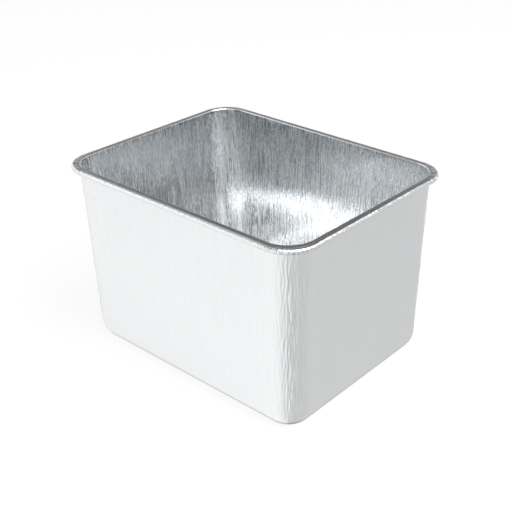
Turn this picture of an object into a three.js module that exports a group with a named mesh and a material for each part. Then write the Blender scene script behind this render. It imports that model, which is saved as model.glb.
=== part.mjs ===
// A deep rectangular baking pan of thin aluminium with a wired rim.
// One sheet is drawn to a floor and four upright walls, turned out at the top in a narrow flange, and
// curled at its edge round a ring of steel wire.
// Millimetres, +Z up, +X along the pan's length. The origin is the middle of the floor's underside.

import * as THREE from 'three';

// Outside of the pan
const RIM_LENGTH = 150;
const RIM_WIDTH = 116.6;
const HEIGHT = 97.8;

// Plan radii of the upright corners: the rim's outer edge, and the wall's outside at its foot
const RIM_CORNER_RADIUS = 15.4;
const FOOT_CORNER_RADIUS = 12.8;

// Sheet and walls
const SHEET_THICKNESS = 0.4;
const WALL_LEAN_DEGREES = 1.41;
const FLOOR_EDGE_RADIUS = 9;

// Wire in the rim
const WIRE_DIAMETER = 2;
const WIRE_CLEARANCE = 0.15;
const WIRE_BUTT_GAP = 0.8;

// Flange and curl: the bend from wall to flange is measured on the sheet's inside face, and the curl stands
// off the wall by one gap along the sides and by another at the middle of a corner
const SHOULDER_RADIUS = 0.6;
const CURL_TO_WALL_GAP = 0.3;
const CURL_TO_WALL_CORNER_GAP = 1;
const CURL_WRAP_DEGREES = 250;

// Facets: an upright corner, the bends of the sheet, and the wire's section
const CORNER_STEPS = 10;
const FLOOR_EDGE_STEPS = 6;
const SHOULDER_STEPS = 4;
const CURL_STEPS = 14;
const WIRE_SIDES = 12;

const ALUMINIUM = { color: 0xc8cbcf, roughness: 0.34, metalness: 1 };
const WIRE_STEEL = { color: 0x8b8f93, roughness: 0.42, metalness: 1 };

// Places in the sheet's section, as distances in from the rim's outer edge and heights above the floor
const wallLean = THREE.MathUtils.degToRad(WALL_LEAN_DEGREES);
const curlInside = WIRE_DIAMETER / 2 + WIRE_CLEARANCE;
const curlOutside = curlInside + SHEET_THICKNESS;
const curlCentre = new THREE.Vector2(curlOutside, HEIGHT - curlOutside);
const wallTopOutside = 2 * curlOutside + CURL_TO_WALL_GAP;
const wallTopInside = wallTopOutside + SHEET_THICKNESS;
const shoulderCentre = new THREE.Vector2(wallTopInside - SHOULDER_RADIUS, HEIGHT - SHOULDER_RADIUS);
const edgeInside = FLOOR_EDGE_RADIUS - SHEET_THICKNESS;

// Plan radius of the wall's outside at its top: a wider corner gap takes a rounder corner
const cornerGapGrowth = (CURL_TO_WALL_CORNER_GAP - CURL_TO_WALL_GAP) / (Math.SQRT2 - 1);
const wallCornerRadius = RIM_CORNER_RADIUS - wallTopOutside + cornerGapGrowth;

// The wall's inside face runs straight down from the shoulder, leaning in, until the floor's edge takes over
const wallFacing = new THREE.Vector2(Math.cos(wallLean), Math.sin(wallLean));
const wallDown = new THREE.Vector2(Math.sin(wallLean), -Math.cos(wallLean));
const wallTop = shoulderCentre.clone().addScaledVector(wallFacing, SHOULDER_RADIUS);
const wallRun = (wallTop.y + edgeInside * wallFacing.y - FLOOR_EDGE_RADIUS) / wallFacing.x;
const edgeCentre = wallTop.clone().addScaledVector(wallDown, wallRun).addScaledVector(wallFacing, edgeInside);
const footInset = edgeCentre.x - FLOOR_EDGE_RADIUS * wallFacing.x;

// Points along an arc of the section, with angles turning from inwards towards up
function sectionArc(centre, radius, startAngle, endAngle, steps) {
  const points = [];
  for (let step = 0; step <= steps; step += 1) {
    const angle = THREE.MathUtils.lerp(startAngle, endAngle, step / steps);
    points.push(new THREE.Vector2(centre.x + radius * Math.cos(angle), centre.y + radius * Math.sin(angle)));
  }
  return points;
}

// A rounded rectangle at one height, counter-clockwise from the back side, as points on its four arcs.
// A butt gap leaves it open at the middle of that side, with a point at each end.
function planLoop(inset, height, cornerRadius, buttGap) {
  const halfLength = RIM_LENGTH / 2 - inset;
  const halfWidth = RIM_WIDTH / 2 - inset;
  const cornerX = halfLength - cornerRadius;
  const cornerY = halfWidth - cornerRadius;
  const path = new THREE.Path();
  path.absarc(-cornerX, cornerY, cornerRadius, Math.PI / 2, Math.PI);
  path.absarc(-cornerX, -cornerY, cornerRadius, Math.PI, Math.PI * 1.5);
  path.absarc(cornerX, -cornerY, cornerRadius, Math.PI * 1.5, Math.PI * 2);
  path.absarc(cornerX, cornerY, cornerRadius, 0, Math.PI / 2);
  const outline = path.getPoints(CORNER_STEPS / 2);
  if (buttGap > 0) {
    outline.unshift(new THREE.Vector2(-buttGap / 2, halfWidth));
    outline.push(new THREE.Vector2(buttGap / 2, halfWidth));
  }
  return outline.map((point) => new THREE.Vector3(point.x, point.y, height));
}

// Rings of the curl share the rim's corner centres, rings of the shoulder the wall's, and rings at the foot
// the foot's
function rimLoop(point, buttGap = 0) {
  return planLoop(point.x, point.y, RIM_CORNER_RADIUS - point.x, buttGap);
}

function wallLoop(point) {
  return planLoop(point.x, point.y, wallCornerRadius - (point.x - wallTopOutside), 0);
}

function footLoop(point) {
  return planLoop(point.x, point.y, FOOT_CORNER_RADIUS - (point.x - footInset), 0);
}

// A closed skin over a row of rings, with a flat fan of faces on the first ring and on the last
function cappedSkin(rings) {
  const count = rings[0].length;
  const lastRing = (rings.length - 1) * count;
  const faces = [];
  for (let ring = 0; ring < lastRing; ring += count) {
    for (let side = 0; side < count; side += 1) {
      const next = (side + 1) % count;
      faces.push(ring + side, ring + next, ring + count + next);
      faces.push(ring + side, ring + count + next, ring + count + side);
    }
  }
  for (let side = 1; side < count - 1; side += 1) {
    faces.push(0, side + 1, side);
    faces.push(lastRing, lastRing + side, lastRing + side + 1);
  }
  const geometry = new THREE.BufferGeometry().setFromPoints(rings.flat());
  geometry.setIndex(faces);
  geometry.computeVertexNormals();
  return geometry;
}

// Pan shell: up the outside of the sheet, round the inside of the curl to its lip, and back down the inside
function panShell() {
  const towardsFloor = -Math.PI / 2;
  const towardsWall = -Math.PI + wallLean;
  const curlLip = Math.PI / 2 + THREE.MathUtils.degToRad(CURL_WRAP_DEGREES);
  const up = Math.PI / 2;
  const foot = (radius, start, end) => sectionArc(edgeCentre, radius, start, end, FLOOR_EDGE_STEPS);
  const shoulder = (radius, start, end) => sectionArc(shoulderCentre, radius, start, end, SHOULDER_STEPS);
  const curl = (radius, start, end) => sectionArc(curlCentre, radius, start, end, CURL_STEPS);
  return cappedSkin([
    ...foot(FLOOR_EDGE_RADIUS, towardsFloor, towardsWall).map(footLoop),
    ...shoulder(SHOULDER_RADIUS - SHEET_THICKNESS, wallLean, up).map(wallLoop),
    ...curl(curlInside, up, curlLip).map((point) => rimLoop(point)),
    ...curl(curlOutside, curlLip, up).map((point) => rimLoop(point)),
    ...shoulder(SHOULDER_RADIUS, up, wallLean).map(wallLoop),
    ...foot(edgeInside, towardsWall, towardsFloor).map(footLoop),
  ]);
}

// Rim wire: a round section carried along the middle of the curl, from one butted end to the other
function rimWire() {
  const section = sectionArc(curlCentre, WIRE_DIAMETER / 2, Math.PI, Math.PI * 3, WIRE_SIDES).slice(1);
  const runs = section.map((point) => rimLoop(point, WIRE_BUTT_GAP));
  const rings = runs[0].map((_, station) => runs.map((run) => run[station]));
  return cappedSkin(rings);
}

function part(name, geometry, finish) {
  const mesh = new THREE.Mesh(geometry, new THREE.MeshStandardMaterial(finish));
  mesh.name = name;
  return mesh;
}

const pan = new THREE.Group();
pan.add(part('pan_shell', panShell(), ALUMINIUM));
pan.add(part('rim_wire', rimWire(), WIRE_STEEL));

export default pan;
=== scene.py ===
import math

import bpy
import numpy as np
from mathutils import Matrix, Vector


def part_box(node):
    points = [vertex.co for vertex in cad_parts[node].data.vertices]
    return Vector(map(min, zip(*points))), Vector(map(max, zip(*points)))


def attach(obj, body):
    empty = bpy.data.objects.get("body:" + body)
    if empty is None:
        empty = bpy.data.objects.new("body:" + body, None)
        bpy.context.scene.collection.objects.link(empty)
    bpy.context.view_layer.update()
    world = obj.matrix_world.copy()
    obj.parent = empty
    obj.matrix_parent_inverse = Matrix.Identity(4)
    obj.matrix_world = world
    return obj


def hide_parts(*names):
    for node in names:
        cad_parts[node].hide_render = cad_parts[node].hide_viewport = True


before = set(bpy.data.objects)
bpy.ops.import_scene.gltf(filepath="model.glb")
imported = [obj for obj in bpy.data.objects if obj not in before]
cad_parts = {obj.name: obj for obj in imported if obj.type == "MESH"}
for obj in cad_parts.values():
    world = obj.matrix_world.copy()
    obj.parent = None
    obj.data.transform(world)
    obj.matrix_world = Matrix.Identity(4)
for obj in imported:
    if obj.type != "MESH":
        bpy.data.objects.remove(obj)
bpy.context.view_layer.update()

# Pan sheet
# One sheet of bare aluminium, matt on its outside face and bright on its inside one, drawn in a press to
# a floor and four upright walls. Its edge is turned out in a narrow flange and curled over, so the bead
# shows the bright face. Drawing leaves fine streaks up the walls and gathers ripples at the corners.

shell_low, shell_high = (np.array(corner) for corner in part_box("pan_shell"))
pan_length, pan_width, pan_height = shell_high - shell_low

sheet_thickness = 0.0004
wall_lean = math.radians(1.41)
rim_corner_radius = 0.0154
foot_corner_radius = 0.0128
floor_edge_radius = 0.0090
shoulder_radius = 0.0006
wire_radius = 0.0010
wire_clearance = 0.00015
curl_to_wall_gap = 0.0003
curl_to_wall_corner_gap = 0.0010
curl_wrap = math.radians(250)

# Places in the section, as (distance in from the rim's outer edge, height)
curl_radius = wire_radius + wire_clearance + sheet_thickness
curl_centre = np.array([curl_radius, pan_height - curl_radius])
wall_outside = 2 * curl_radius + curl_to_wall_gap
corner_gap_growth = (curl_to_wall_corner_gap - curl_to_wall_gap) / (math.sqrt(2) - 1)
wall_corner_radius = rim_corner_radius - wall_outside + corner_gap_growth
wall_inside = wall_outside + sheet_thickness
shoulder_centre = np.array([wall_inside - shoulder_radius, pan_height - shoulder_radius])
wall_facing = np.array([math.cos(wall_lean), math.sin(wall_lean)])
wall_down = np.array([math.sin(wall_lean), -math.cos(wall_lean)])
wall_top = shoulder_centre + shoulder_radius * wall_facing
edge_inside = floor_edge_radius - sheet_thickness
wall_run = (wall_top[1] + edge_inside * wall_facing[1] - floor_edge_radius) / wall_facing[0]
edge_centre = wall_top + wall_run * wall_down + edge_inside * wall_facing
foot_inset = edge_centre[0] - floor_edge_radius * wall_facing[0]

# Rows of the mesh along the sheet, and columns round it
edge_rows = 13
wall_rows = 54
shoulder_rows = 8
land_shares = np.array([0.12, 0.88])
curl_rows = 26
floor_rows = 8
corner_columns = 88
long_side_columns = 24
short_side_columns = 18

# Where the floor's grain gives way to the walls', and how many rows of the shoulder take on the rim's finish
grain_turn_height = 0.0005
rim_blend_rows = 2

# The gathered metal at the corners: how far it reaches along the sides, and what share of its ripples the
# punch left on the inside face
gather_reach = 0.011
inside_ripple_share = 0.4

# Its ripples, one to a row: length round the pan, swing from side to side, rise from one swing to the next,
# phase, and steepest slope
corner_ripples = (
    (0.0012, 1.5, 0.0105, 0.4, 0.310),
    (0.0016, -1.7, 0.0140, 1.7, 0.310),
    (0.0024, 1.4, 0.0190, 4.1, 0.140),
    (0.0046, -1.2, 0.0310, 2.6, 0.050),
)
ripple_foot = 0.004
ripple_full = 0.012
ripple_fade = 0.005
sway_spacing = 0.0117
swell_share = 0.5
swell_rise = 0.041
swell_spacing = 0.0093

# The slow waves on the flat walls
slow_length = 0.047
slow_height = 0.000020
slow_phase = 1.1


def arc(centre, radius, start, end, count):
    """Points on a circle about centre, with the angle going evenly from start to end."""
    angle = np.linspace(start, end, count)
    return centre + radius * np.stack([np.cos(angle), np.sin(angle)], axis=1)


def sheet_face(depth):
    """One face of the sheet from the floor's edge to the lip of the curl, as (inset, height) rows.

    Each bend is an arc about its own centre, with depth, the distance under the inside face, added to the
    radius where the bend is hollow and taken from it where the bend is round. Straight rows join them.
    """
    edge = arc(edge_centre, edge_inside + depth, -math.pi / 2, wall_lean - math.pi, edge_rows)
    shoulder = arc(shoulder_centre, shoulder_radius - depth, wall_lean, math.pi / 2, shoulder_rows)
    curl = arc(curl_centre, curl_radius - depth, math.pi / 2, math.pi / 2 + curl_wrap, curl_rows)
    share = np.linspace(0, 1, wall_rows)[1:-1, None]
    wall = edge[-1] + share * (shoulder[0] - edge[-1])
    land = shoulder[-1] + land_shares[:, None] * (curl[0] - shoulder[-1])
    return np.concatenate([edge, wall, shoulder, land, curl])


def corner_radii(face):
    """Plan corner radius of each row of a face: about the foot's corners low down, going evenly up the wall
    to the corners of its top, and about the rim's corners on the curl."""
    low = foot_corner_radius - (face[:, 0] - foot_inset)
    high = wall_corner_radius - (face[:, 0] - wall_outside)
    foot_height = edge_centre[1] - floor_edge_radius * wall_facing[1]
    share = np.clip((face[:, 1] - foot_height) / (wall_top[1] - foot_height), 0, 1)
    radii = low + share * (high - low)
    radii[-curl_rows:] = rim_corner_radius - face[-curl_rows:, 0]
    return radii


def stations(corner_count, side_shares):
    """Columns round the pan, counter-clockwise from the back left corner: the signs of the corner that a
    column leaves, the signs of the corner that it heads for, how far it has gone, and the way it faces.
    A corner's columns turn evenly through a right angle, and a side's columns stand at the given shares."""
    signs = np.array([[-1, 1], [-1, -1], [1, -1], [1, 1]], float)
    start = np.radians([90, 180, 270, 360])
    columns = []
    for corner, gone in enumerate(side_shares):
        turn = start[corner] + np.linspace(0, math.pi / 2, corner_count)
        facing = np.concatenate([turn, np.full(len(gone), turn[-1])])
        share = np.concatenate([np.zeros(corner_count), gone])
        ones = np.ones_like(share)
        columns.append(np.stack([
            ones * signs[corner, 0], ones * signs[corner, 1],
            ones * signs[(corner + 1) % 4, 0], ones * signs[(corner + 1) % 4, 1], share, facing,
        ]))
    return np.concatenate(columns, axis=1)


def rounded_rings(section, radii, columns):
    """Rounded rectangles, one for each row: corner centres carried along by share, plus the corner radius
    in the direction that the column faces."""
    from_x, from_y, to_x, to_y, share, facing = columns
    reach_x = (pan_length / 2 - section[:, 0] - radii)[:, None]
    reach_y = (pan_width / 2 - section[:, 0] - radii)[:, None]
    x = reach_x * (from_x + share * (to_x - from_x)) + radii[:, None] * np.cos(facing)
    y = reach_y * (from_y + share * (to_y - from_y)) + radii[:, None] * np.sin(facing)
    z = np.broadcast_to(section[:, 1][:, None], x.shape)
    return np.stack([x, y, z], axis=2)


def smooth_step(value, low, high):
    """0 below low, 1 above high, and 3t^2 - 2t^3 between them."""
    t = np.clip((value - low) / (high - low), 0, 1)
    return t * t * (3 - 2 * t)


def draw_ripples(around, height, facing):
    """How far the sheet stands out from its true wall, as sines of the distance round the pan. Narrow ones
    stand where the metal was gathered at the corners. They swing from side to side on their way up, swell
    and fade, and die out at the floor and under the rim. Slow ones cross the flat walls."""
    cornerness = np.sin(2 * facing) ** 2
    top = wall_top[1]
    growth = smooth_step(height, ripple_foot, ripple_full) * (1 - smooth_step(height, top - ripple_fade, top))
    ripples = 0
    for length, swing, rise, phase, slope in corner_ripples:
        sway = swing * np.sin(2 * math.pi * (height / rise + around / sway_spacing) + 2 * phase)
        swell = np.sin(2 * math.pi * (height / swell_rise + around / swell_spacing) + 3 * phase)
        wave = np.sin(2 * math.pi * around / length + sway + phase)
        ripples = ripples + slope * length / (2 * math.pi) * (1 + swell_share * swell) * wave
    slow = slow_height * np.sin(2 * math.pi * around / slow_length + slow_phase)
    slow = slow * np.sin(math.pi * height / pan_height)
    return growth * (cornerness * ripples + (1 - cornerness) * slow)


def closed_grid(name, rings, low_pole, high_pole):
    """A closed skin over rows of rings, with a fan of triangles from a pole at each end. Row r, column c is
    vertex r * columns + c, and the columns run on from the last to the first."""
    rows, columns = rings.shape[:2]
    low = np.arange((rows - 1) * columns).reshape(rows - 1, columns)
    beside = np.roll(low, -1, axis=1)
    quads = np.stack([low, beside, beside + columns, low + columns], axis=2).reshape(-1, 4)
    first = np.arange(columns)
    last = first + (rows - 1) * columns
    pole = rows * columns
    fan_low = np.stack([np.roll(first, -1), first, np.full(columns, pole)], axis=1)
    fan_high = np.stack([last, np.roll(last, -1), np.full(columns, pole + 1)], axis=1)
    vertices = np.concatenate([rings.reshape(-1, 3), [low_pole, high_pole]])
    corners = np.concatenate([quads.ravel(), fan_low.ravel(), fan_high.ravel()])
    starts = np.concatenate([
        np.arange(len(quads)) * 4,
        len(quads) * 4 + np.arange(2 * columns) * 3,
    ])
    mesh = bpy.data.meshes.new(name)
    mesh.vertices.add(len(vertices))
    mesh.vertices.foreach_set("co", vertices.astype(np.float32).ravel())
    mesh.loops.add(len(corners))
    mesh.loops.foreach_set("vertex_index", corners.astype(np.int32))
    mesh.polygons.add(len(starts))
    mesh.polygons.foreach_set("loop_start", starts.astype(np.int32))
    mesh.update(calc_edges=True)
    mesh.validate()
    mesh.shade_smooth()
    return mesh


def point_attribute(mesh, name, kind, values):
    """Stores one value for each vertex, for the piece's material to read."""
    field = "vector" if kind == "FLOAT_VECTOR" else "value"
    attribute = mesh.attributes.new(name, kind, "POINT")
    attribute.data.foreach_set(field, np.asarray(values, np.float32).ravel())


def add_piece(name, mesh, material):
    """Links a mesh at the origin as an object that wears one material."""
    mesh.materials.append(material)
    piece = bpy.data.objects.new(name, mesh)
    bpy.context.scene.collection.objects.link(piece)
    return piece


def feed(tree, socket, value):
    """Sets a socket to a plain value, or links it to the socket that is given."""
    if isinstance(value, bpy.types.NodeSocket):
        tree.links.new(value, socket)
    else:
        socket.default_value = value


def add_node(tree, kind, settings=None, **inputs):
    """A shader node with its settings made and each named input fed."""
    made = tree.nodes.new(kind)
    for key, value in (settings or {}).items():
        setattr(made, key, value)
    for key, value in inputs.items():
        feed(tree, made.inputs[key.replace("_", " ")], value)
    return made


def stored(tree, name, output="Fac"):
    """The value that point_attribute stored under that name."""
    return add_node(tree, "ShaderNodeAttribute", {"attribute_name": name}).outputs[output]


def streaks(tree, place, cell, detail, wander):
    """Noise drawn out along the metal: cells of that size, which wander from side to side."""
    per_metre = tuple(1 / length for length in cell)
    mapped = add_node(tree, "ShaderNodeMapping", Vector=place, Scale=per_metre)
    noise = add_node(
        tree, "ShaderNodeTexNoise",
        Vector=mapped.outputs["Vector"], Scale=1.0, Detail=detail, Distortion=wander,
    )
    return noise.outputs["Fac"]


def arithmetic(tree, operation, first, second):
    """One Math node on two values."""
    made = add_node(tree, "ShaderNodeMath", {"operation": operation})
    feed(tree, made.inputs[0], first)
    feed(tree, made.inputs[1], second)
    return made.outputs[0]


def between(tree, share, low, high):
    """low where share is 0, high where it is 1, and an even mix of the two between."""
    spread = arithmetic(tree, "SUBTRACT", high, low)
    return arithmetic(tree, "ADD", low, arithmetic(tree, "MULTIPLY", share, spread))


def stretched(tree, value, low, high, start=0.38, end=0.62):
    """A value's range from start to end, by default the middle of a noise, carried to low and high and held
    there."""
    made = add_node(
        tree, "ShaderNodeMapRange",
        Value=value, From_Min=start, From_Max=end, To_Min=low, To_Max=high,
    )
    return made.outputs["Result"]


# Where a Mix node keeps its two inputs and its result
mix_sockets = {"VECTOR": (4, 5, 1), "RGBA": (6, 7, 2)}


def mixed(tree, kind, share, low, high):
    """A mix of vectors or of colours: low where share is 0, and high where it is 1."""
    made = add_node(tree, "ShaderNodeMix", {"data_type": kind}, Factor=share)
    low_socket, high_socket, result = mix_sockets[kind]
    feed(tree, made.inputs[low_socket], low)
    feed(tree, made.inputs[high_socket], high)
    return made.outputs[result]


# Cells of the grain, as width, width and length along the sheet, and of the floor's rolling lines, which run
# along the pan
short_cell = (0.00040, 0.00040, 0.0028)
long_cell = (0.00050, 0.00050, 0.0150)
coarse_cell = (0.0016, 0.0016, 0.022)
tick_cell = (0.0007, 0.0007, 0.0020)
rolled_cell = (0.030, 0.0009, 0.0009)
fine_share = 0.7
grain_depth = 0.00010

# Places on the bead, as shares of a turn from its top outwards: where it is rubbed, and where a line of
# painted shade darkens its underside
rub_start = 5 / 360
rub_end = 45 / 360
shade_line_start = 105 / 360
shade_line_full = 120 / 360
shade_line_ease = 150 / 360
shade_line_end = 165 / 360

# Heights between which the bright face grows darker towards its top
darkening_low = 0.045
darkening_high = 0.095

# The metal at its cleanest and at its darkest, for wear and for painted shade, and losses on the way from the
# one to the other
clean_colour = (0.942, 0.952, 0.960, 1)
worn_and_shade_colour = (0.396, 0.405, 0.412, 1)
matt_loss_all_over = 0.10
matt_mark_share = 0.05
land_loss = 0.04
bead_side_loss = 0.16
# How much painted shade darkens the line along the bead's underside
shade_line_loss = 0.27
corner_roughening = 0.12


def drawn_aluminium():
    """Bare aluminium: streaks along the way that the walls were drawn, straight rolling lines on the floor,
    and a bright face and a matt one. A loss of 0 gives the clean colour and a loss of 1 the darkest one,
    which stands for wear and for painted shade."""
    material = bpy.data.materials.new("drawn_aluminium")
    material.use_nodes = True
    tree = material.node_tree
    shader = tree.nodes["Principled BSDF"]
    shader.inputs["Metallic"].default_value = 1.0
    shader.inputs["Anisotropic"].default_value = 0.75

    drawn_along = stored(tree, "grain", "Vector")
    upright = stored(tree, "upright")
    bright = stored(tree, "bright_face")
    gathered = stored(tree, "gathered")
    rim = stored(tree, "rim")
    curl = stored(tree, "curl")
    rolled_along = add_node(tree, "ShaderNodeTexCoord").outputs["Object"]
    height = add_node(tree, "ShaderNodeSeparateXYZ", Vector=rolled_along).outputs["Z"]

    # Across the grain: round the pan on the walls, and from front to back on the floor
    round_pan = add_node(tree, "ShaderNodeTangent", {"direction_type": "RADIAL", "axis": "Z"})
    across = mixed(tree, "VECTOR", upright, (0, 1, 0), round_pan.outputs["Tangent"])
    feed(tree, shader.inputs["Tangent"], across)

    # The grain: short and long streaks together, broader streaks under them, rolling lines in place of both
    # on the floor, and ticks across the rim
    short = streaks(tree, drawn_along, short_cell, detail=1.0, wander=0.2)
    long = streaks(tree, drawn_along, long_cell, detail=1.0, wander=0.2)
    broad = streaks(tree, drawn_along, coarse_cell, detail=2.0, wander=0.5)
    rolled = streaks(tree, rolled_along, rolled_cell, detail=3.0, wander=0.2)
    ticks = streaks(tree, drawn_along, tick_cell, detail=1.0, wander=0.0)
    both = arithmetic(tree, "MULTIPLY", arithmetic(tree, "ADD", short, long), 0.5)
    fine = between(tree, upright, rolled, both)
    coarse = between(tree, upright, rolled, broad)

    # The bead is rubbed from its top outwards, and darkened by a line of painted shade along its underside
    rubbed = stretched(tree, curl, low=0.0, high=1.0, start=rub_start, end=rub_end)
    painted_shade_line = arithmetic(
        tree, "MULTIPLY",
        stretched(tree, curl, low=0.0, high=1.0, start=shade_line_start, end=shade_line_full),
        stretched(tree, curl, low=1.0, high=0.0, start=shade_line_ease, end=shade_line_end),
    )

    # Relief of the grain, deeper where the bead is rubbed and most of all at its corners
    drawn = arithmetic(tree, "ADD", arithmetic(tree, "MULTIPLY", fine, fine_share), coarse)
    rim_depth = arithmetic(
        tree, "MULTIPLY",
        between(tree, rubbed, low=0.5, high=2.2),
        between(tree, gathered, low=1.0, high=2.4),
    )
    relief = arithmetic(tree, "MULTIPLY", drawn, between(tree, rim, 1.0, rim_depth))
    bump = add_node(tree, "ShaderNodeBump", Strength=1.0, Distance=grain_depth, Height=relief)
    feed(tree, shader.inputs["Normal"], bump.outputs["Normal"])

    # Colour: dark marks in the grain, plain on the bright face, faint on the matt one and stronger where its
    # metal was gathered, with the bright face darker towards its top
    rolled_marks = stretched(tree, rolled, low=0.60, high=0.0, start=0.34, end=0.54)
    drawn_marks = stretched(tree, fine, low=0.72, high=0.0, start=0.40, end=0.53)
    marks = between(tree, upright, rolled_marks, drawn_marks)
    top_darkening = stretched(tree, height, low=0.07, high=0.23, start=darkening_low, end=darkening_high)
    bright_loss = arithmetic(tree, "ADD", top_darkening, marks)
    long_marks = stretched(tree, long, low=0.24, high=0.0, start=0.36, end=0.54)
    gathered_marks = arithmetic(tree, "MULTIPLY", gathered, long_marks)
    flat_marks = arithmetic(tree, "MULTIPLY", marks, matt_mark_share)
    matt_marks = between(tree, gathered, flat_marks, gathered_marks)
    matt_loss = arithmetic(tree, "ADD", matt_loss_all_over, matt_marks)
    wall_loss = between(tree, bright, matt_loss, bright_loss)

    # The rim's colour: clean on its flat land, a little worn on the bead, ticked at the corners, and darkened
    # by painted shade in a line along the bead's underside
    tick_loss = stretched(tree, ticks, low=0.10, high=0.60, start=0.40, end=0.60)
    bead_loss = between(tree, rubbed, land_loss, between(tree, gathered, bead_side_loss, tick_loss))
    rim_wear_and_shade = arithmetic(tree, "ADD", bead_loss, arithmetic(tree, "MULTIPLY", painted_shade_line, shade_line_loss))
    lightness = arithmetic(tree, "SUBTRACT", 1.0, between(tree, rim, wall_loss, rim_wear_and_shade))
    feed(tree, shader.inputs["Base Color"], mixed(tree, "RGBA", lightness, worn_and_shade_colour, clean_colour))

    # Roughness: streaked on the bright face and rougher at its corners, even on the matt face and smoother
    # at its corners, and smooth on the land
    streaked = stretched(tree, fine, low=0.10, high=0.32, start=0.46, end=0.60)
    roughened = arithmetic(tree, "MULTIPLY", gathered, corner_roughening)
    bright_rough = arithmetic(tree, "ADD", streaked, roughened)
    flat_rough = stretched(tree, coarse, low=0.28, high=0.34)
    corner_rough = stretched(tree, long, low=0.16, high=0.28, start=0.40, end=0.60)
    matt_rough = between(tree, gathered, flat_rough, corner_rough)
    side_land = stretched(tree, coarse, low=0.11, high=0.14)
    corner_land = stretched(tree, ticks, low=0.09, high=0.24)
    land_rough = between(tree, gathered, side_land, corner_land)
    bead_rough = stretched(tree, fine, low=0.12, high=0.32, start=0.44, end=0.60)
    wall_rough = between(tree, bright, matt_rough, bright_rough)
    rim_rough = between(tree, rubbed, land_rough, bead_rough)
    feed(tree, shader.inputs["Roughness"], between(tree, rim, wall_rough, rim_rough))
    return material


def even_shares(count):
    """Shares of a side at even steps, without its two ends."""
    return np.linspace(0, 1, count + 2)[1:-1]


short_side = even_shares(short_side_columns)
long_side = even_shares(long_side_columns)
columns = stations(corner_columns, [short_side, long_side, short_side, long_side])
inside = sheet_face(0.0)
outside = sheet_face(sheet_thickness)
section = np.concatenate([outside, inside[::-1]])
radii = np.concatenate([corner_radii(outside), corner_radii(inside)[::-1]])
rings = rounded_rings(section, radii, columns)

# Distance round the pan at the middle of the wall, for the ripples and the grain
middle_row = rings[edge_rows + wall_rows // 2]
around = np.concatenate([[0], np.cumsum(np.linalg.norm(np.diff(middle_row, axis=0), axis=1))])
girth = around[-1] + np.linalg.norm(middle_row[0] - middle_row[-1])
facing = columns[5]
face_share = np.repeat([1.0, inside_ripple_share], len(inside))[:, None]
ripple = face_share * draw_ripples(around[None, :], section[:, 1][:, None], facing[None, :])
rings[:, :, 0] += ripple * np.cos(facing)
rings[:, :, 1] += ripple * np.sin(facing)

# The flat of the floor: the innermost ring drawn in towards the middle on each face
shrink = np.linspace(0, 1, floor_rows + 1)[1:-1, None, None]
drawn_in = np.concatenate([shrink, shrink, np.ones_like(shrink)], axis=2)
all_rings = np.concatenate([rings[0] * drawn_in, rings, (rings[-1] * drawn_in)[::-1]])


def with_floors(rows, under=0.0, over=0.0):
    """One value to a row of the section, with the floor's values before and after them: one for the rows of
    its underside, and one for those of its inside."""
    return np.concatenate([np.full(floor_rows - 1, under), rows, np.full(floor_rows - 1, over)])


# Grain runs along the sheet: a circle round the pan, and the distance along the section
run = np.concatenate([[0], np.cumsum(np.linalg.norm(np.diff(section, axis=0), axis=1))])
turn = 2 * math.pi * around / girth
circle = girth / (2 * math.pi) * np.stack([np.cos(turn), np.sin(turn)], axis=1)
along = with_floors(run, run[0], run[-1])
grain = np.concatenate([
    np.broadcast_to(circle[None], (len(along),) + circle.shape),
    np.broadcast_to(along[:, None, None], (len(along), len(circle), 1)),
], axis=2).reshape(-1, 3)
grain = np.concatenate([grain, [[0, 0, run[0]], [0, 0, run[-1]]]])

# The matt face comes first in the rows and the bright face last. Each goes from the flat floor up the wall,
# over the shoulder and the land, and round the curl.
bright_rows = np.repeat([0.0, 1.0], len(all_rings) // 2)
upright_rows = with_floors(smooth_step(section[:, 1], grain_turn_height, floor_edge_radius))
rim_face = np.concatenate([
    np.zeros(edge_rows + wall_rows - 2),
    smooth_step(np.arange(shoulder_rows), 0, rim_blend_rows),
    np.ones(len(land_shares) + curl_rows),
])
rim_rows = with_floors(np.concatenate([rim_face, rim_face[::-1]]))
curl_turns = np.linspace(0, curl_wrap, curl_rows) / (2 * math.pi)
curl_face = np.concatenate([np.zeros(len(inside) - curl_rows), curl_turns])
turn_rows = with_floors(np.concatenate([curl_face, curl_face[::-1]]))

# Metal gathers most at the middles of the corners, and dies away along the sides
side_columns = np.array([0, short_side_columns, long_side_columns, short_side_columns])
corner_starts = np.arange(4) * corner_columns + np.cumsum(side_columns)
corner_middles = (around[corner_starts] + around[corner_starts + corner_columns - 1]) / 2
apart = np.abs(around[:, None] - corner_middles)
from_corner = np.minimum(apart, girth - apart).min(axis=1)
gathered = np.outer(upright_rows, np.exp(-((from_corner / gather_reach) ** 2)))

pan_mesh = closed_grid("pan_sheet", all_rings, [0, 0, 0], [0, 0, sheet_thickness])
point_attribute(pan_mesh, "grain", "FLOAT_VECTOR", grain)
for name, rows, poles in (
    ("bright_face", bright_rows, [0, 1]),
    ("upright", upright_rows, [0, 0]),
    ("rim", rim_rows, [0, 0]),
    ("curl", turn_rows, [0, 0]),
):
    point_attribute(pan_mesh, name, "FLOAT", np.append(np.repeat(rows, len(around)), poles))
point_attribute(pan_mesh, "gathered", "FLOAT", np.append(gathered, [0, 0]))
pan_sheet = add_piece("pan_sheet", pan_mesh, drawn_aluminium())
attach(pan_sheet, "root")
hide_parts("pan_shell")

# Rim wire
# A ring of drawn steel wire that the edge of the sheet is curled round to stiffen the rim. It is bent to the
# rim's shape, and its two ends meet at the middle of a long side with a small gap between them.

wire_butt_gap = 0.0008
wire_chamfer = 0.00018
wire_sides = 28
wire_corner_columns = 40
wire_side_columns = 6

line_cell = (0.00014, 0.00014, 0.012)
bloom_cell = (0.0012, 0.0012, 0.006)
line_depth = 0.00001
dull_steel = (0.47, 0.475, 0.48, 1)
clean_steel = (0.57, 0.575, 0.585, 1)


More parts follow.
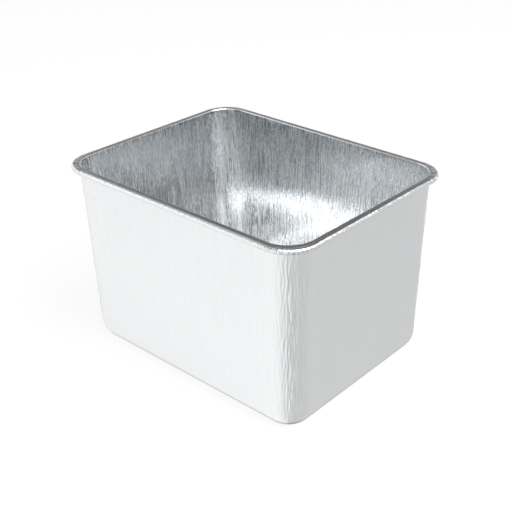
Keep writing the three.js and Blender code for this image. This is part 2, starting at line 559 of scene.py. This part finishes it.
def wire_tube():
    """The wire's round section carried round the rim from one butt to the other: rows along the wire, and
    columns round its section. A smaller ring at each end makes the chamfer."""
    butt_side = pan_length - 2 * rim_corner_radius
    half_gap = wire_butt_gap / 2 / butt_side
    side = even_shares(wire_side_columns)
    butt = np.array([0.5 - half_gap, 0.5 + half_gap])
    ends_last = stations(wire_corner_columns, [side, side, side, butt])
    path_columns = np.roll(ends_last, 1, axis=1)
    section = arc(curl_centre, wire_radius, 0, 2 * math.pi, wire_sides + 1)[:-1]
    runs = rounded_rings(section, rim_corner_radius - section[:, 0], path_columns)
    tube = runs.transpose(1, 0, 2)
    caps = []
    for ring, inwards in ((tube[0], -1), (tube[-1], 1)):
        middle = ring.mean(axis=0)
        caps.append(middle + (1 - wire_chamfer / wire_radius) * (ring - middle))
        ring[:, 0] += inwards * wire_chamfer
    return np.concatenate([caps[:1], tube, caps[1:]])


def drawn_steel():
    """Plain steel wire, grey and dull, with long fine lines from the drawing die."""
    material = bpy.data.materials.new("rim_steel")
    material.use_nodes = True
    tree = material.node_tree
    shader = tree.nodes["Principled BSDF"]
    shader.inputs["Metallic"].default_value = 1.0
    drawn_along = stored(tree, "grain", "Vector")
    lines = streaks(tree, drawn_along, line_cell, detail=3.0, wander=0.2)
    bloom = streaks(tree, drawn_along, bloom_cell, detail=2.0, wander=0.4)
    lightness = stretched(tree, bloom, low=0.0, high=1.0)
    feed(tree, shader.inputs["Base Color"], mixed(tree, "RGBA", lightness, dull_steel, clean_steel))
    feed(tree, shader.inputs["Roughness"], stretched(tree, lines, low=0.34, high=0.46))
    bump = add_node(tree, "ShaderNodeBump", Strength=1.0, Distance=line_depth, Height=lines)
    feed(tree, shader.inputs["Normal"], bump.outputs["Normal"])
    return material


wire_rings = wire_tube()
wire_ends = [wire_rings[0].mean(axis=0), wire_rings[-1].mean(axis=0)]
wire_mesh = closed_grid("rim_ring", wire_rings, *wire_ends)
wire_line = wire_rings.mean(axis=1)
wire_along = np.concatenate([[0], np.cumsum(np.linalg.norm(np.diff(wire_line, axis=0), axis=1))])
wire_turn = np.linspace(0, 2 * math.pi, wire_sides, endpoint=False)
wire_circle = wire_radius * np.stack([np.cos(wire_turn), np.sin(wire_turn)], axis=1)
wire_grain = np.concatenate([
    np.broadcast_to(wire_circle, (len(wire_line), wire_sides, 2)),
    np.broadcast_to(wire_along[:, None, None], (len(wire_line), wire_sides, 1)),
], axis=2).reshape(-1, 3)
wire_grain = np.concatenate([wire_grain, [[0, 0, 0], [0, 0, wire_along[-1]]]])
point_attribute(wire_mesh, "grain", "FLOAT_VECTOR", wire_grain)
rim_ring = add_piece("rim_ring", wire_mesh, drawn_steel())
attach(rim_ring, "root")
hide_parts("rim_wire")

# Ground
# A plain white studio sweep: a flat floor that curves up into a low wall far round the pan. It shows white,
# and keeps a soft trace of the pan's shadow.

sweep_inner_rings = [[0.3, 0], [1.2, 0]]
sweep_reach = 2.6
sweep_bend = 0.4
sweep_bend_rows = 12
sweep_height = 0.85
sweep_columns = 96

# A painted shadow on the ground under the pan's rounded edge, which only the metal shows, and its distances
# from the pan's foot
shade_tone = 0.05
shade_start = -0.0055
shade_end = -0.0005


def studio_board(name, paint, shine, glow_share):
    """Matt paint that takes light and shadow, under a glow of its own colour. The glow has its share of what
    the eye and the metal see, and the paint has the rest."""
    material = bpy.data.materials.new(name)
    material.use_nodes = True
    tree = material.node_tree
    tree.nodes.remove(tree.nodes["Principled BSDF"])
    matt = add_node(tree, "ShaderNodeBsdfDiffuse", Color=(paint, paint, paint, 1))
    glow = add_node(tree, "ShaderNodeEmission", Color=(1, 1, 1, 1), Strength=shine)
    path = add_node(tree, "ShaderNodeLightPath")
    seen = arithmetic(tree, "MAXIMUM", path.outputs["Is Camera Ray"], path.outputs["Is Glossy Ray"])
    seen = arithmetic(tree, "MAXIMUM", seen, path.outputs["Is Transmission Ray"])
    board = add_node(tree, "ShaderNodeMixShader", Fac=arithmetic(tree, "MULTIPLY", seen, glow_share))
    feed(tree, board.inputs[1], matt.outputs["BSDF"])
    feed(tree, board.inputs[2], glow.outputs["Emission"])
    feed(tree, tree.nodes["Material Output"].inputs["Surface"], board.outputs["Shader"])
    return material


def clear_of_pan(tree):
    """0 on the ground well under the pan, rising to 1 at its foot. The distance from a rounded rectangle is
    the length of what is left of |x| and |y| past its corner centres, less the corner radius."""
    middle = add_node(tree, "ShaderNodeTexCoord").outputs["Object"]
    place = add_node(tree, "ShaderNodeSeparateXYZ", Vector=middle)
    squares = []
    for axis, half in (("X", pan_length / 2), ("Y", pan_width / 2)):
        size = arithmetic(tree, "ABSOLUTE", place.outputs[axis], 0.0)
        past = arithmetic(tree, "SUBTRACT", size, half - foot_inset - foot_corner_radius)
        squares.append(arithmetic(tree, "POWER", arithmetic(tree, "MAXIMUM", past, 0.0), 2.0))
    length = arithmetic(tree, "SQRT", arithmetic(tree, "ADD", squares[0], squares[1]), 0.0)
    distance = arithmetic(tree, "SUBTRACT", length, foot_corner_radius)
    return stretched(tree, distance, 0.0, 1.0, shade_start, shade_end)


def sweep_surface():
    """A profile turned about the upright axis: flat to the bend, a quarter circle, then straight up."""
    bend_centre = np.array([sweep_reach - sweep_bend, sweep_bend])
    bend = arc(bend_centre, sweep_bend, -math.pi / 2, 0, sweep_bend_rows)
    profile = np.concatenate([sweep_inner_rings, bend, [[sweep_reach, sweep_height]]])
    turn = np.linspace(0, 2 * math.pi, sweep_columns, endpoint=False)
    x = profile[:, 0][:, None] * np.cos(turn)
    y = profile[:, 0][:, None] * np.sin(turn)
    z = np.broadcast_to(profile[:, 1][:, None], x.shape)
    vertices = np.concatenate([np.stack([x, y, z], axis=2).reshape(-1, 3), [[0, 0, 0]]])
    low = np.arange((len(profile) - 1) * sweep_columns).reshape(-1, sweep_columns)
    beside = np.roll(low, -1, axis=1)
    quads = np.stack([low, beside, beside + sweep_columns, low + sweep_columns], axis=2).reshape(-1, 4)
    first = np.arange(sweep_columns)
    fan = np.stack([np.full(sweep_columns, len(vertices) - 1), first, np.roll(first, -1)], axis=1)
    mesh = bpy.data.meshes.new("ground")
    mesh.from_pydata(vertices.tolist(), [], quads[:, ::-1].tolist() + fan.tolist())
    mesh.shade_smooth()
    return mesh


white_ground = studio_board("white_ground", paint=0.85, shine=1.0, glow_share=0.9)
ground_tree = white_ground.node_tree
# Glossy rays see the ground dark under the pan, a painted shadow; camera rays see it white
painted_shadow_glow = between(ground_tree, clear_of_pan(ground_tree), shade_tone, 1.0)
in_metal = ground_tree.nodes["Light Path"].outputs["Is Glossy Ray"]
ground_shine = between(ground_tree, in_metal, 1.0, painted_shadow_glow)
feed(ground_tree, ground_tree.nodes["Emission"].inputs["Strength"], ground_shine)
ground = add_piece("ground", sweep_surface(), white_ground)

# Grey card
# A card laid on the ground at the pan's right and bent up at its far edge, as a photographer sets one to give
# bright metal a darker side. It is a painted reflection: only the metal shows it, it is kept out of the
# picture and throws no shadow.

card_lift = 0.0002
card_height = 0.30
card_outline = [(0.062, -0.64), (0.80, -0.64), (0.80, 0.60), (0.062, 0.60)]
card_back = [(0.80, -0.64), (0.80, 0.60), (0.35, 1.10)]

# Tones of its painted reflection, and the bearings from the pan's front corner between which they change
card_tone = 0.70
card_dark_tone = 0.66
card_corner = (0.062, -0.046)
card_fade_start = math.radians(-78)
card_fade_end = math.radians(-40)
card_rise_start = math.radians(15)
card_rise_end = math.radians(45)


def card_painted_reflection(tree):
    """Painted reflection by the bearing from the pan's front corner: white at the front, fading evenly to a
    dark grey, then rising a little to the side's grey, which shades the metal of the front corner and right
    side.
    Under the pan it is dark, a painted shadow."""
    middle = add_node(tree, "ShaderNodeTexCoord").outputs["Object"]
    place = add_node(tree, "ShaderNodeSeparateXYZ", Vector=middle)
    across = arithmetic(tree, "SUBTRACT", place.outputs["X"], card_corner[0])
    deep = arithmetic(tree, "SUBTRACT", place.outputs["Y"], card_corner[1])
    bearing = arithmetic(tree, "ARCTAN2", deep, across)
    fade = stretched(tree, bearing, 1.0, card_dark_tone, card_fade_start, card_fade_end)
    rise = stretched(tree, bearing, 0.0, card_tone - card_dark_tone, card_rise_start, card_rise_end)
    grey = arithmetic(tree, "ADD", fade, rise)
    return between(tree, clear_of_pan(tree), shade_tone, grey)


card_points = [(x, y, card_lift) for x, y in card_outline + card_back]
card_points += [(x, y, card_height) for x, y in card_back]
card_mesh = bpy.data.meshes.new("grey_card")
card_mesh.from_pydata(card_points, [], [(0, 1, 2, 3), (4, 7, 8, 5), (5, 8, 9, 6)])
card_grey = studio_board("card_grey", paint=card_tone, shine=card_tone, glow_share=1.0)
card_tree = card_grey.node_tree
feed(card_tree, card_tree.nodes["Emission"].inputs["Strength"], card_painted_reflection(card_tree))
grey_card = add_piece("grey_card", card_mesh, card_grey)
grey_card.visible_camera = False
grey_card.visible_diffuse = False
grey_card.visible_shadow = False

# Studio light
# Soft boxes in a dim room: a bright one high at the pan's right with a low strip under it, a broad dim one by
# the camera and another at its left. Two faint boards, over the pan and behind it, lift the darkest metal.

box_distance = 1.2
room_tone = (0.15, 0.15, 0.153, 1)
light_bounces = 16


def soft_box(name, direction, width, height, brightness):
    """A rectangular lamp in that direction from the pan, facing it. Its power is its brightness times pi
    times its area, so brightness 1 looks white in a mirror."""
    lamp = bpy.data.lights.new(name, "AREA")
    lamp.shape = "RECTANGLE"
    lamp.size = width
    lamp.size_y = height
    lamp.energy = brightness * math.pi * width * height
    towards = Vector(direction).normalized()
    box = bpy.data.objects.new(name, lamp)
    box.location = Vector((0, 0, pan_height / 2)) + towards * box_distance
    box.rotation_euler = towards.to_track_quat("Z", "Y").to_euler()
    bpy.context.scene.collection.objects.link(box)


soft_box("right_box", (0.577, 0.085, 0.812), width=0.76, height=1.05, brightness=10.0)
soft_box("near_box", (0.410, -0.632, 0.656), width=1.40, height=1.10, brightness=1.05)
soft_box("low_strip", (0.899, -0.152, 0.411), width=1.20, height=0.25, brightness=8.4)
soft_box("left_box", (-0.890, -0.262, 0.375), width=1.75, height=0.55, brightness=1.05)
soft_box("ceiling_board", (-0.530, -0.010, 0.848), width=1.10, height=0.70, brightness=0.4)
soft_box("side_board", (0.302, 0.762, 0.574), width=0.80, height=0.64, brightness=0.55)

world = bpy.data.worlds.new("dim_room")
world.use_nodes = True
world.node_tree.nodes["Background"].inputs["Color"].default_value = room_tone
world.node_tree.nodes["Background"].inputs["Strength"].default_value = 1.0
bpy.context.scene.world = world

# Light goes from wall to wall inside the pan many times before it leaves
bpy.context.scene.cycles.max_bounces = light_bounces
bpy.context.scene.cycles.glossy_bounces = light_bounces

# Camera
# A plain lens set where the photograph was taken from. Its axis lies right of the picture's middle, and the
# shift allows for that.

image_width = 512
view_azimuth = math.radians(40.36)
view_elevation = math.radians(28.27)
view_distance = 0.47445
view_right = 0.020253
view_up = -0.000418
focal_pixels = 936.75
axis_pixel = 294.92
sensor_width = 36.0
nearest_seen = 0.01
farthest_seen = 20

camera_back = Vector((
    math.sin(view_azimuth) * math.cos(view_elevation),
    -math.cos(view_azimuth) * math.cos(view_elevation),
    math.sin(view_elevation),
))
camera_right = Vector((math.cos(view_azimuth), math.sin(view_azimuth), 0))
camera_up = camera_back.cross(camera_right)
camera_data = bpy.data.cameras.new("camera")
camera_data.sensor_width = sensor_width
camera_data.lens = focal_pixels / image_width * sensor_width
camera_data.shift_x = (image_width / 2 - axis_pixel) / image_width
camera_data.clip_start = nearest_seen
camera_data.clip_end = farthest_seen
camera = bpy.data.objects.new("camera", camera_data)
camera_place = Vector((0, 0, pan_height / 2)) + camera_back * view_distance
camera_place += camera_right * view_right + camera_up * view_up
turned = Matrix((camera_right, camera_up, camera_back)).transposed()
camera.matrix_world = Matrix.Translation(camera_place) @ turned.to_4x4()
bpy.context.scene.collection.objects.link(camera)
bpy.context.scene.camera = camera
bpy.context.scene.view_settings.view_transform = "Standard"
